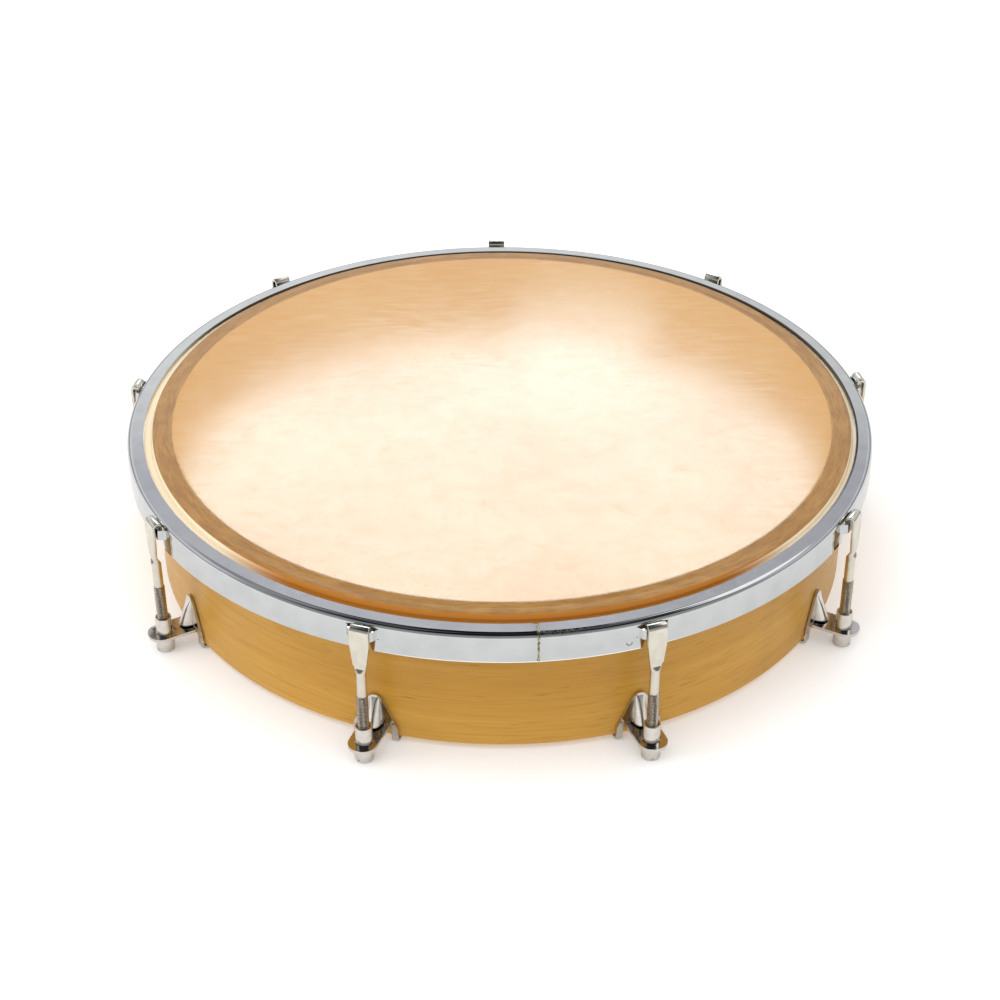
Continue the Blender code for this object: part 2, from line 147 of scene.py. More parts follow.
def lofted(name, rows, looped=False, sharp=35.0):
    """Quads between successive closed rows; the ends are capped unless the last row joins the first."""
    bm = bmesh.new()
    loops = [[bm.verts.new(point) for point in row] for row in rows]
    pairs = list(zip(loops, loops[1:]))
    if looped:
        pairs.append((loops[-1], loops[0]))
    else:
        bm.faces.new(loops[0])
        bm.faces.new(loops[-1])
    for first, second in pairs:
        count = len(first)
        for index in range(count):
            after = (index + 1) % count
            bm.faces.new((first[index], first[after], second[after], second[index]))
    return finished(name, bm, sharp)


def turned(name, profile, segments, looped=False):
    """Turn a profile about Z: profile(angle) gives (radius, height) points, always the same number."""
    angles = [2 * math.pi * step / segments for step in range(segments)]
    outlines = [profile(angle) for angle in angles]
    rows = []
    for ring in zip(*outlines):
        rows.append([(r * math.cos(a), r * math.sin(a), z) for a, (r, z) in zip(angles, ring)])
    return lofted(name, rows, looped)


def extruded(name, outline, low, high, place):
    """An outline swept straight from low to high; place is along_rim, outward or upward."""
    rows = [[place(u, v, w) for u, v in outline] for w in (low, high)]
    return lofted(name, rows)


def rectangle(half_u, half_v):
    """An outline centred on the origin."""
    return [(-half_u, -half_v), (half_u, -half_v), (half_u, half_v), (-half_u, half_v)]


def along_rim(u, v, w):
    """Outline in (out, up), swept along the rim."""
    return (w, u, v)


def outward(u, v, w):
    """Outline in (along the rim, up), swept outward."""
    return (u, w, v)


def upward(u, v, w):
    """Outline in (along the rim, out), swept upward."""
    return (u, v, w)


def with_modifier(mesh, kind, other=None, **settings):
    """The mesh after one modifier; other is the mesh a Boolean uses."""
    host = bpy.data.objects.new("modifier_host", mesh)
    bpy.context.scene.collection.objects.link(host)
    made = host.modifiers.new("made", kind)
    for key, value in settings.items():
        setattr(made, key, value)
    tool = None
    if other is not None:
        tool = bpy.data.objects.new("modifier_tool", other)
        bpy.context.scene.collection.objects.link(tool)
        made.object = tool
    result = bpy.data.meshes.new_from_object(host.evaluated_get(bpy.context.evaluated_depsgraph_get()))
    for item in (host, tool):
        if item is not None:
            bpy.data.objects.remove(item)
    result.shade_smooth()
    result.set_sharp_from_angle(angle=math.radians(35))
    return result


def combined(mesh, other, operation):
    """The Boolean of two meshes."""
    return with_modifier(mesh, "BOOLEAN", other, operation=operation, solver="EXACT")


def bevelled(mesh, width, segments, angle):
    """The mesh with its edges over an angle, in degrees, broken."""
    return with_modifier(mesh, "BEVEL", width=width, segments=segments, limit_method="ANGLE",
                         angle_limit=math.radians(angle), use_clamp_overlap=True)


# ---------------------------------------------------------------- rings

SHELL_EDGE = 0.0010
BEARING_START, BEARING_SLOPE = 0.1555, 0.05
COLLAR_ROUND = 0.0009
FLESH_ROUND = 0.0008
CENTRE_HOLE = 0.0020             # the skin's innermost row, which the end caps close


def bearing_drop(radius):
    """The shell's top, and the skin on it, fall away a little from its inner edge to its outer one."""
    return BEARING_SLOPE * max(0.0, radius - BEARING_START)


def shell_mesh():
    """The wooden shell with rounded edges, very slightly uneven as bent wood is."""
    edge = SHELL_EDGE
    top = SHELL_HEIGHT - bearing_drop(SHELL_RADIUS)

    def profile(angle):
        wave = 0.00004 * math.sin(3 * angle + 0.6) + 0.00003 * math.sin(5 * angle)
        outside = SHELL_RADIUS + wave
        points = arc((outside - edge, edge), edge, -90, 0, 4)
        points += [(outside, h) for h in (0.012, 0.024, 0.036, 0.048, 0.060)]
        points += arc((outside - SHELL_TOP_ROUND, top - SHELL_TOP_ROUND), SHELL_TOP_ROUND, 0, 90, 5)
        points += arc((SHELL_INSIDE + edge, SHELL_HEIGHT - edge), edge, 90, 180, 4)
        points += [(SHELL_INSIDE, h) for h in (0.060, 0.048, 0.036, 0.024, 0.012)]
        points += arc((SHELL_INSIDE + edge, edge), edge, 180, 270, 4)
        return [(r, raised(h)) for r, h in points]

    return turned("shell_wood", profile, 288, looped=True)


def skin_mesh():
    """The skin: field, bend over the shell's edge, wall, collar on the flesh hoop, lap outside it."""
    centre = SHELL_RADIUS - SHELL_TOP_ROUND
    bend = SHELL_TOP_ROUND + GAP + SKIN
    wall = SHELL_RADIUS + GAP + SKIN
    over_edge = (centre, SHELL_HEIGHT - SHELL_TOP_ROUND - bearing_drop(centre))

    def profile(angle):
        lift = settled(SHELL_RADIUS * math.cos(angle), SHELL_RADIUS * math.sin(angle))
        collar = COLLAR_TOP + lift
        room = over_edge[1] - collar
        hollow = min(0.0012, max(0.0001, room))
        hem = COLLAR_TOP - 0.0003 - FLESH_HEIGHT + lift
        hem += 0.0006 * noise.noise((3 * math.cos(angle), 3 * math.sin(angle), 2.0))
        over = [(CENTRE_HOLE + (centre - CENTRE_HOLE) * (k / 24.0) ** 0.8, PLAYING_HEIGHT)
                for k in range(24)]
        over += [(r, PLAYING_HEIGHT - bearing_drop(r)) for r in (0.1540, 0.1553, 0.1556, 0.1575, 0.1600)]
        over.sort()
        over += arc(over_edge, bend, 90, 0, 8)
        over += arc((wall + hollow, collar + hollow), hollow, 180, 270, 5)
        over += [(0.5 * (wall + COLLAR_OUTSIDE), collar)]
        over += arc((COLLAR_OUTSIDE - COLLAR_ROUND, collar - COLLAR_ROUND), COLLAR_ROUND, 90, 0, 4)
        over += [(COLLAR_OUTSIDE, 0.5 * (collar + hem)), (COLLAR_OUTSIDE, hem)]
        inner = COLLAR_OUTSIDE - SKIN
        under = [(inner, hem), (inner, 0.5 * (collar + hem))]
        under += arc((COLLAR_OUTSIDE - COLLAR_ROUND, collar - COLLAR_ROUND), COLLAR_ROUND - SKIN, 0, 90, 2)
        under += [(0.5 * (wall + COLLAR_OUTSIDE), collar - SKIN), (wall + hollow, collar - SKIN)]
        under += [(wall - SKIN, collar - SKIN + hollow)]
        under += arc(over_edge, bend - SKIN, 0, 90, 5)
        under += [(r, PLAYING_HEIGHT - SKIN) for r in (SHELL_INSIDE, 0.100, 0.050, CENTRE_HOLE)]
        return [(r, raised(h)) for r, h in over + under]

    return turned("skin", profile, 288)


def flesh_hoop_mesh():
    """The wooden hoop that the skin is lapped on; it follows the counter hoop."""
    def profile(angle):
        top = COLLAR_TOP - SKIN - GAP
        top += settled(SHELL_RADIUS * math.cos(angle), SHELL_RADIUS * math.sin(angle))
        bottom = top - FLESH_HEIGHT
        inside = FLESH_OUTSIDE - FLESH_WIDTH
        points = []
        for (r, h), start in (((FLESH_OUTSIDE, bottom), -90), ((FLESH_OUTSIDE, top), 0),
                              ((inside, top), 90), ((inside, bottom), 180)):
            cx = r - FLESH_ROUND if r == FLESH_OUTSIDE else r + FLESH_ROUND
            cz = h - FLESH_ROUND if h == top else h + FLESH_ROUND
            points += arc((cx, cz), FLESH_ROUND, start, start + 90, 3)
        return [(r, raised(h)) for r, h in points]

    return turned("flesh_ring", profile, 216, looped=True)


NOTCH_TOP, SLIT_LOW, SLIT_HIGH = 0.0592, 0.0596, 0.0643
NOTCH_HALF, NOTCH_FLARE = 0.0026, 0.0017
HAIR = 1e-6                      # room for rounding when heights are compared
FLANGE_RISE = 0.00022            # the flange climbs this much from its bend to its inner edge
BAND_LEAN = 0.00022              # the band leans in this much between the notch and the corner
EAR_FLAT, EAR_HALF = 0.0046, 0.0072
BEAD_HEIGHT, BEAD_HALF = 0.00022, 0.0009
WELD_ANGLE = math.radians(274.0)
DING_ANGLE, DING_HEIGHT = math.radians(286.6), 0.0572


def hoop_columns():
    """(station centre angle, distance along the rim from it) for each column, round the whole hoop."""
    near = [NOTCH_HALF / 2, NOTCH_HALF, EAR_FLAT, 0.0051, 0.0056, 0.0061, 0.0066, EAR_HALF]
    half_pitch = math.pi / STATIONS * HOOP_RADIUS
    count = 42
    far = [EAR_HALF + (half_pitch - EAR_HALF) * (k + 1) / count for k in range(count)]
    columns = []
    for station in range(STATIONS):
        centre = math.pi / 2 + 2 * math.pi * station / STATIONS
        offsets = sorted([-u for u in near + far[:-1]] + [0.0] + near + far)
        columns += [(centre, u) for u in offsets]
    return columns


def ear_bulge(u):
    """How far the ear stands out of the band, at a distance along the rim from its middle."""
    if abs(u) <= EAR_FLAT:
        return EAR_BULGE
    return EAR_BULGE * (1.0 - smooth((abs(u) - EAR_FLAT) / (EAR_HALF - EAR_FLAT)))


def hoop_point(centre, u, radius, height):
    """One point of the hoop's outside surface, with the ear, weld bead, ding and slope put in."""
    if height < NOTCH_TOP + HAIR and abs(u) < NOTCH_HALF + HAIR:
        side = NOTCH_HALF + NOTCH_FLARE * (NOTCH_TOP - height) / (NOTCH_TOP - HOOP_BOTTOM)
        u *= side / NOTCH_HALF
    if SLIT_LOW - HAIR < height < SLIT_HIGH + HAIR:
        radius += ear_bulge(u)
    angle = centre + u / HOOP_RADIUS
    along = math.remainder(angle - WELD_ANGLE, 2 * math.pi) * HOOP_RADIUS
    ragged = 0.6 + 0.4 * noise.noise((0.0, 0.0, 900.0 * (height - radius)))
    bead = BEAD_HEIGHT * math.exp(-(along / BEAD_HALF) ** 2) * ragged
    radius -= BAND_LEAN * smooth((height - NOTCH_TOP) / 0.0060)
    flat = smooth((height - HOOP_TOP + 0.0012) / 0.0012)
    radius += bead * (1.0 - flat)
    height += bead * flat
    if radius < FLANGE_INSIDE + 0.0006:
        radius += 0.0008 * math.exp(-(along / 0.0010) ** 2)
        radius += 0.00012 * noise.noise((40 * math.cos(angle), 40 * math.sin(angle), 0.0))
    across = math.remainder(angle - DING_ANGLE, 2 * math.pi) * HOOP_RADIUS
    radius -= 0.0004 * math.exp(-(across / 0.0012) ** 2 - ((height - DING_HEIGHT) / 0.0010) ** 2)
    dented = 0.00006 * noise.noise((11 * math.cos(angle), 11 * math.sin(angle), 30 * height))
    radius += dented + bowed(angle)
    x, y = radius * math.cos(angle), radius * math.sin(angle)
    return (x + HOOP_SHIFT, y, raised(height) + settled(x, y))


def counter_hoop_mesh():
    """The pressed steel hoop: band, rolled corner and flange, with an ear and a notch per station."""
    heights = [HOOP_BOTTOM, 0.0548, 0.0562, 0.0572, 0.0582, NOTCH_TOP, SLIT_LOW, 0.0609, 0.0621, 0.0633,
               SLIT_HIGH]
    profile = [(HOOP_RADIUS, h) for h in heights]
    bend_top = HOOP_TOP - FLANGE_RISE
    profile += arc((HOOP_RADIUS - HOOP_CORNER, bend_top - HOOP_CORNER), HOOP_CORNER, 0, 88, 10)
    flat = HOOP_RADIUS - HOOP_CORNER
    for share in (0.02, 0.25, 0.5, 0.75, 0.93, 0.98, 1.0):
        profile.append((flat + (FLANGE_INSIDE - flat) * share, bend_top + FLANGE_RISE * share))
    columns = hoop_columns()
    bm = bmesh.new()
    grid = [[bm.verts.new(hoop_point(c, u, r, h)) for c, u in columns] for r, h in profile]
    count = len(columns)
    for row in range(len(profile) - 1):
        low, high = profile[row][1], profile[row + 1][1]
        slit = NOTCH_TOP - HAIR < low < SLIT_LOW - HAIR or abs(low - SLIT_HIGH) < HAIR
        for index in range(count):
            after = (index + 1) % count
            middle = abs(columns[index][1] + columns[after][1]) / 2
            same = columns[index][0] == columns[after][0]
            if same and slit and middle < EAR_HALF:
                continue
            if same and high < NOTCH_TOP + HAIR and middle < NOTCH_HALF:
                continue
            bm.faces.new((grid[row][index], grid[row][after], grid[row + 1][after], grid[row + 1][index]))
    loose = [v for v in bm.verts if not v.link_faces]
    bmesh.ops.delete(bm, geom=loose, context="VERTS")
    mesh = finished("counter_hoop_sheet", bm, 35.0)
    mesh = with_modifier(mesh, "SOLIDIFY", thickness=HOOP_SHEET, offset=-1.0, use_even_offset=True)
    return bevelled(mesh, 0.00012, 1, 60.0)


# ---------------------------------------------------------------- station pieces

THREAD_PITCH, THREAD_DEPTH, THREAD_STEP = 0.0008, 0.00045, 0.000133
ROD_BOTTOM, CREASE_LOW, CREASE_HIGH = 0.0012, 0.0428, 0.0470
NECK_HALF, PLATE_CORNER = 0.0030, 0.00032
PER_CORNER = 6
ROD_ANGLES = [math.radians(360 * (k + 0.5) / (4 * PER_CORNER)) for k in range(4 * PER_CORNER)]


def rounded_section(half_x, half_y, corner):
    """Points of a rounded rectangle, the same number whatever its size."""
    points = []
    for quarter, (sx, sy) in enumerate(((1, 1), (-1, 1), (-1, -1), (1, -1))):
        cx, cy = sx * (half_x - corner), sy * (half_y - corner)
        for step in range(PER_CORNER):
            angle = math.radians(90 * quarter + 90 * (step + 0.5) / PER_CORNER)
            points.append((cx + corner * math.cos(angle), cy + corner * math.sin(angle)))
    return points


def rod_radius(angle, height):
    """A rolled M5 thread with rounded crests, cut away towards both ends, below a thinner shank."""
    phase = (height / THREAD_PITCH - angle / (2 * math.pi)) % 1.0
    ridge = smooth(1.6 * abs(2 * phase - 1) - 0.3)
    threaded = smooth((THREAD_TOP - height) / 0.0009)
    cut = THREAD_DEPTH * (1.0 - ridge) * threaded * smooth((height - ROD_BOTTOM) / 0.0010)
    return SHANK_RADIUS + (ROD_RADIUS - SHANK_RADIUS) * threaded - cut


def rod_rows():
    """Round sections of the threaded rod and the shank, from the bottom up."""
    end = 0.7 * ROD_RADIUS
    rows = [[(end * math.cos(a), ROD_AXIS + end * math.sin(a), ROD_BOTTOM - 0.0005) for a in ROD_ANGLES]]
    length = THREAD_TOP + 0.0002 - ROD_BOTTOM
    steps = round(length / THREAD_STEP)
    heights = [ROD_BOTTOM + length * k / steps for k in range(steps + 1)]
    for height in heights + [0.036, 0.040, CREASE_LOW]:
        row = []
        for a in ROD_ANGLES:
            radius = rod_radius(a, height)
            row.append((radius * math.cos(a), ROD_AXIS + radius * math.sin(a), height))
        rows.append(row)
    return rows


def forged_rows():
    """Sections where the shank is flattened and spread into the plate, under the crease in its face."""
    face = CLAW_FACE - ROD_AXIS
    back = face - CLAW_SHEET
    swollen = 1.06 * SHANK_RADIUS
    rows = []
    for k in range(1, 15):
        share = k / 14.0
        front = swollen + (face - swollen) * min(1.0, max(0.0, (share - 0.30) / 0.45))
        rear = -SHANK_RADIUS + (back + SHANK_RADIUS) * smooth(share)
        half = (1.0 + 0.36 * share) * SHANK_RADIUS
        depth = (1.0 + 0.09 * smooth(share / 0.30)) * SHANK_RADIUS
        height = CREASE_LOW + (CREASE_HIGH - CREASE_LOW) * share
        row = []
        for a in ROD_ANGLES:
            y = min(max(depth * math.sin(a), rear), front)
            row.append((half * math.cos(a), ROD_AXIS + y, height))
        rows.append(row)
    return rows


def claw_rows():
    """Sections of the plate as it widens, rolls over the ear and thins to the claw's tip."""
    widening = [(CREASE_HIGH + (0.0572 - CREASE_HIGH) * share, NECK_HALF + (CLAW_HALF - NECK_HALF) * share)
                for share in (0.06, 0.3, 0.6, 0.9, 1.0)]
    middle = CLAW_FACE - CLAW_SHEET / 2
    rows = []
    for height, half in widening + [(h, CLAW_HALF) for h in (0.0590, 0.0610, 0.0628)]:
        section = rounded_section(half, CLAW_SHEET / 2, PLATE_CORNER)
        rows.append([(x, middle + y, height) for x, y in section])
    centre = CLAW_FACE - CLAW_SHEET - CLAW_BEND_INSIDE
    for step in range(13):
        turn = math.pi * step / 12
        sheet = CLAW_SHEET + (CLAW_TIP_SHEET - CLAW_SHEET) * step / 12
        radius = CLAW_BEND_INSIDE + sheet / 2
        row = []
        for x, y in rounded_section(CLAW_HALF, sheet / 2, PLATE_CORNER):
            reach = radius + y
            row.append((x, centre + reach * math.cos(turn), CLAW_BEND_HEIGHT + reach * math.sin(turn)))
        rows.append(row)
    radius = CLAW_BEND_INSIDE + CLAW_TIP_SHEET / 2
    for height, shrink in ((0.0630, 1.0), (0.0618, 1.0), (CLAW_TIP_BOTTOM + 0.0003, 0.99),
                           (CLAW_TIP_BOTTOM, 0.93)):
        section = rounded_section(CLAW_HALF * shrink, shrink * CLAW_TIP_SHEET / 2, 0.0003)
        rows.append([(x, centre - radius - y, height) for x, y in section])
    return rows


def hook_mesh():
    """A tension hook in one forging: threaded rod, shank, plate and claw."""
    return lofted("hook", rod_rows() + forged_rows() + claw_rows(), sharp=50.0)


def nut_mesh():
    """A sleeve nut: barrel with a rolled top lip, deep bore, slotted head below the tongue."""
    head_top = TONGUE_BOTTOM - GAP
    lip, edge = 0.0004, 0.0002

    def profile(_angle):
        points = [(0.0006, NUT_BOTTOM)]
        points += arc((NUT_HEAD - lip, NUT_BOTTOM + lip), lip, -90, 0, 4)
        points += arc((NUT_HEAD - edge, head_top - edge), edge, 0, 90, 2)
        points += [(NUT_BARREL, head_top)]
        points += arc((NUT_BARREL - lip, NUT_TOP - lip), lip, 0, 90, 5)
        points += [(NUT_BORE + edge, NUT_TOP), (NUT_BORE, NUT_TOP - 0.0003), (NUT_BORE, 0.0002)]
        points += [(0.0005, -0.0003)]
        return points

    slot = extruded("slot", rectangle(0.0006, 0.006), NUT_BOTTOM - 0.001, NUT_BOTTOM + 0.0015, upward)
    return bevelled(combined(turned("nut", profile, 48), slot, "DIFFERENCE"), 0.00012, 2, 50.0)


PLATE_TOP, PLATE_FOOT = 0.0214, 0.0045
FOOT_OUTER, FOOT_INNER, FOOT_BOTTOM = 0.0102, 0.0073, -0.0024
RIB_LOW, RIB_HIGH, RIB_DEPTH = 0.0072, 0.0204, 0.0057
TONGUE_CORNER, TONGUE_HOLE, TONGUE_ROOT = 0.0061, 0.00405, 0.1685


def plate_half(height):
    """Half the width of a bracket's plate at a height: slanting sides under a round top."""
    top, round_radius, tangent = PLATE_TOP, 0.0036, math.radians(24.0)
    centre = top - round_radius
    touch_x, touch_z = round_radius * math.cos(tangent), centre + round_radius * math.sin(tangent)
    if height >= touch_z:
        return math.sqrt(max(0.0, round_radius ** 2 - (height - centre) ** 2))
    share = (touch_z - height) / (touch_z - PLATE_FOOT)
    return touch_x + (FOOT_OUTER - touch_x) * min(1.0, share)


def rib_size(height):
    """(half width, depth) of a bracket's rib at a height."""
    share = (height - RIB_LOW) / (RIB_HIGH - RIB_LOW)
    return 0.0036 + (0.0019 - 0.0036) * share, RIB_DEPTH * max(0.0, 1.0 - share) ** 0.85


def bracket_plate_rows():
    """Closed rows up the plate and its hollow rib, from the slits at the tongue to the arched top."""
    heights = [0.0073 + 0.0135 * k / 30 for k in range(31)] + [0.02095, 0.02108, 0.02120, 0.02130, 0.02137]
    turns = [math.pi * k / 16 for k in range(17)]
    thin = 0.55 * BRACKET_SHEET
    rows = []
    for height in heights:
        half = plate_half(height)
        rib, depth = rib_size(min(height, 0.0206))
        rib = min(rib, 0.92 * half)
        inner_rib = rib - thin
        inner_depth = max(0.0, depth - thin) + 0.5 * depth / 0.0056 * BRACKET_SHEET
        side = [half, half - 0.25 * (half - rib), half - 0.6 * (half - rib)]
        row = [(u, BRACKET_FACE) for u in side]
        row += [(rib * math.cos(t), BRACKET_FACE + depth * math.sin(t) ** 0.8) for t in turns]
        row += [(-u, BRACKET_FACE) for u in reversed(side)]
        row += [(-u, BRACKET_BACK) for u in side]
        row += [(-inner_rib * math.cos(t), BRACKET_BACK + inner_depth * math.sin(t) ** 0.8) for t in turns]
        row += [(u, BRACKET_BACK) for u in reversed(side)]
        rows.append([(u, y, height) for u, y in row])
    return rows


def bracket_root():
    """The bend between a bracket's plate and its tongue."""
    outer, inner = 0.0018, 0.0005
    outline = [(BRACKET_FACE, 0.0075), (BRACKET_BACK, 0.0075)]
    outline += arc((BRACKET_BACK + outer, TONGUE_BOTTOM + outer), outer, 180, 270, 5)
    outline += [(TONGUE_ROOT, TONGUE_BOTTOM), (TONGUE_ROOT, TONGUE_TOP)]
    outline += arc((BRACKET_FACE + inner, TONGUE_TOP + inner), inner, 270, 180, 3)
    return extruded("root", outline, -TONGUE_HALF, TONGUE_HALF, along_rim)


def bracket_tongue():
    """The tongue that the nut stands in, with its hole."""
    corner = TONGUE_CORNER
    outline = [(TONGUE_HALF, TONGUE_ROOT - 0.0001)]
    outline += arc((TONGUE_HALF - corner, TONGUE_END - corner), corner, 0, 90, 12)
    outline += [(-x, y) for x, y in reversed(outline)]
    tongue = extruded("tongue", outline, TONGUE_BOTTOM, TONGUE_TOP, upward)
    around = [2 * math.pi * k / 40 for k in range(40)]
    ring = [(TONGUE_HOLE * math.cos(a), ROD_AXIS + TONGUE_HOLE * math.sin(a)) for a in around]
    return combined(tongue, extruded("hole", ring, 0.003, 0.009, upward), "DIFFERENCE")


def bracket_foot(side):
    """One foot, hooked under the shell's bottom edge; side is 1 or -1."""
    bend, under = 0.0008, -0.0013
    outside = bend + BRACKET_SHEET
    outline = [(BRACKET_FACE, 0.0078), (BRACKET_BACK, 0.0078)]
    outline += arc((BRACKET_BACK - bend, under + bend), bend, 0, -90, 5)
    outline += [(0.1602, under), (0.1602, FOOT_BOTTOM)]
    outline += arc((BRACKET_FACE - outside, FOOT_BOTTOM + outside), outside, -90, 0, 7)
    low, high = sorted((side * FOOT_INNER, side * FOOT_OUTER))
    flap = extruded("flap", outline, low, high, along_rim)
    inner, top = side * (FOOT_INNER - 0.0003), 0.0079
    edge = [(inner, -0.004), (side * FOOT_OUTER, -0.004), (side * FOOT_OUTER, PLATE_FOOT),
            (side * plate_half(top), top), (inner, top)]
    return combined(flap, extruded("blank", edge, 0.158, 0.168, outward), "INTERSECT")


def bracket_mesh():
    """A pressed bracket: plate and hollow rib, bent tongue with its hole, two feet under the shell."""
    mesh = lofted("bracket", bracket_plate_rows())
    for part in (bracket_root(), bracket_tongue(), bracket_foot(-1), bracket_foot(1)):
        mesh = combined(mesh, part, "UNION")
    return bevelled(mesh, 0.00018, 2, 45.0)


def facing_out(mesh, height):
    """Lay a mesh made about Z so that its Z points out from the drum's axis, at a height."""
    mesh.transform(Matrix.Translation((0.0, 0.0, height)) @ Matrix.Rotation(math.radians(-90), 4, "X"))
    return mesh


def screw_mesh():
    """A slotted pan-head screw, driven from inside the shell."""
    head_back, head_face, head_radius, shank, tip = 0.1536, 0.1514, 0.0032, 0.0015, 0.1680

    def profile(_angle):
        points = [(0.0004, head_face)]
        for a in map(math.radians, (20, 40, 60, 75, 90)):
            points.append((head_radius * math.sin(a), head_face + 0.0009 * (1 - math.cos(a))))
        points += [(head_radius, head_back - 0.0002), (head_radius - 0.0002, head_back), (shank, head_back)]
        points += [(shank, tip - 0.0004), (shank - 0.0004, tip)]
        return points

    mesh = turned("screw", profile, 32)
    slot = extruded("screw_slot", rectangle(0.005, 0.0004), head_face - 0.001, head_face + 0.001, upward)
    return facing_out(combined(mesh, slot, "DIFFERENCE"), SCREW_HEIGHT)


def washer_mesh():
    """A flat washer with broken outer edges, under the screw's head."""
    inner, outer, low, high, edge = 0.0018, 0.0045, 0.1539, 0.1547, 0.00015

    def profile(_angle):
        return [(inner, low), (outer - edge, low), (outer, low + edge), (outer, high - edge),
                (outer - edge, high), (inner, high)]

    return facing_out(turned("washer", profile, 40, looped=True), SCREW_HEIGHT)


# ---------------------------------------------------------------- materials

class Nodes:
    """Short calls that add nodes to a node tree."""

    def __init__(self, tree):
        self.tree = tree

    def feed(self, socket, value):
        """Link a node's output into a socket, or give the socket a fixed value."""
        if isinstance(value, bpy.types.NodeSocket):
            self.tree.links.new(value, socket)
        else:
            socket.default_value = value

    def add(self, kind, inputs=None, **settings):
        node = self.tree.nodes.new(kind)
        for key, value in settings.items():
            setattr(node, key, value)
        for key, value in (inputs or {}).items():
            self.feed(node.inputs[key], value)
        return node

    def math(self, operation, *values):
        return self.add("ShaderNodeMath", dict(enumerate(values)), operation=operation).outputs[0]

    def plus(self, first, second):
        return self.math("ADD", first, second)

    def minus(self, first, second):
        return self.math("SUBTRACT", first, second)

    def times(self, *values):
        result = values[0]
        for value in values[1:]:
            result = self.math("MULTIPLY", result, value)
        return result

    def span(self, value, low, high, out_low=0.0, out_high=1.0):
        """A smooth step from out_low to out_high as the value goes from low to high."""
        inputs = {"Value": value, "From Min": low, "From Max": high, "To Min": out_low, "To Max": out_high}
        return self.add("ShaderNodeMapRange", inputs, interpolation_type="SMOOTHSTEP").outputs["Result"]

    def mix(self, share, first, second):
        inputs = {0: share, 6: first, 7: second}
        return self.add("ShaderNodeMix", inputs, data_type="RGBA").outputs[2]

    def split(self, vector):
        return self.add("ShaderNodeSeparateXYZ", {0: vector}).outputs


class Finish(Nodes):
    """A Principled material and the patterns its colour is made of."""

    def __init__(self, name, roughness, metallic=0.0, specular=0.5):
        self.material = bpy.data.materials.new(name)
        self.material.use_nodes = True
        super().__init__(self.material.node_tree)
        self.shader = self.tree.nodes["Principled BSDF"]
        self.set("Roughness", roughness)
        self.set("Metallic", metallic)
        self.set("Specular IOR Level", specular)
        self.place = self.add("ShaderNodeTexCoord").outputs["Object"]

    def set(self, socket, value):
        self.feed(self.shader.inputs[socket], value)

    def noise(self, where, scale, detail=3.0, roughness=0.55, distortion=0.0):
        inputs = {"Vector": where, "Scale": scale, "Detail": detail, "Roughness": roughness,
                  "Distortion": distortion}
        return self.add("ShaderNodeTexNoise", inputs).outputs["Fac"]

    def stretched(self, x, y, z):
        return self.add("ShaderNodeMapping", {"Vector": self.place, "Scale": (x, y, z)}).outputs["Vector"]

    def polar(self):
        """(x, y, z, radius, angle); the angle's jump is at the back, +Y."""
        x, y, z = self.split(self.place)
        flat = self.add("ShaderNodeCombineXYZ", {0: x, 1: y}).outputs[0]
        radius = self.add("ShaderNodeVectorMath", {0: flat}, operation="LENGTH").outputs["Value"]
        return x, y, z, radius, self.math("ARCTAN2", x, self.times(y, -1.0))

    def facing_up(self):
        """1 where the surface faces straight up, 0 where it is upright, -1 where it faces down."""
        return self.split(self.add("ShaderNodeNewGeometry").outputs["Normal"])[2]

    def bump(self, height, distance):
        node = self.add("ShaderNodeBump", {"Height": height, "Distance": distance, "Strength": 1.0})
        self.set("Normal", node.outputs["Normal"])


def rgb(red, green, blue):
    return (red, green, blue, 1.0)


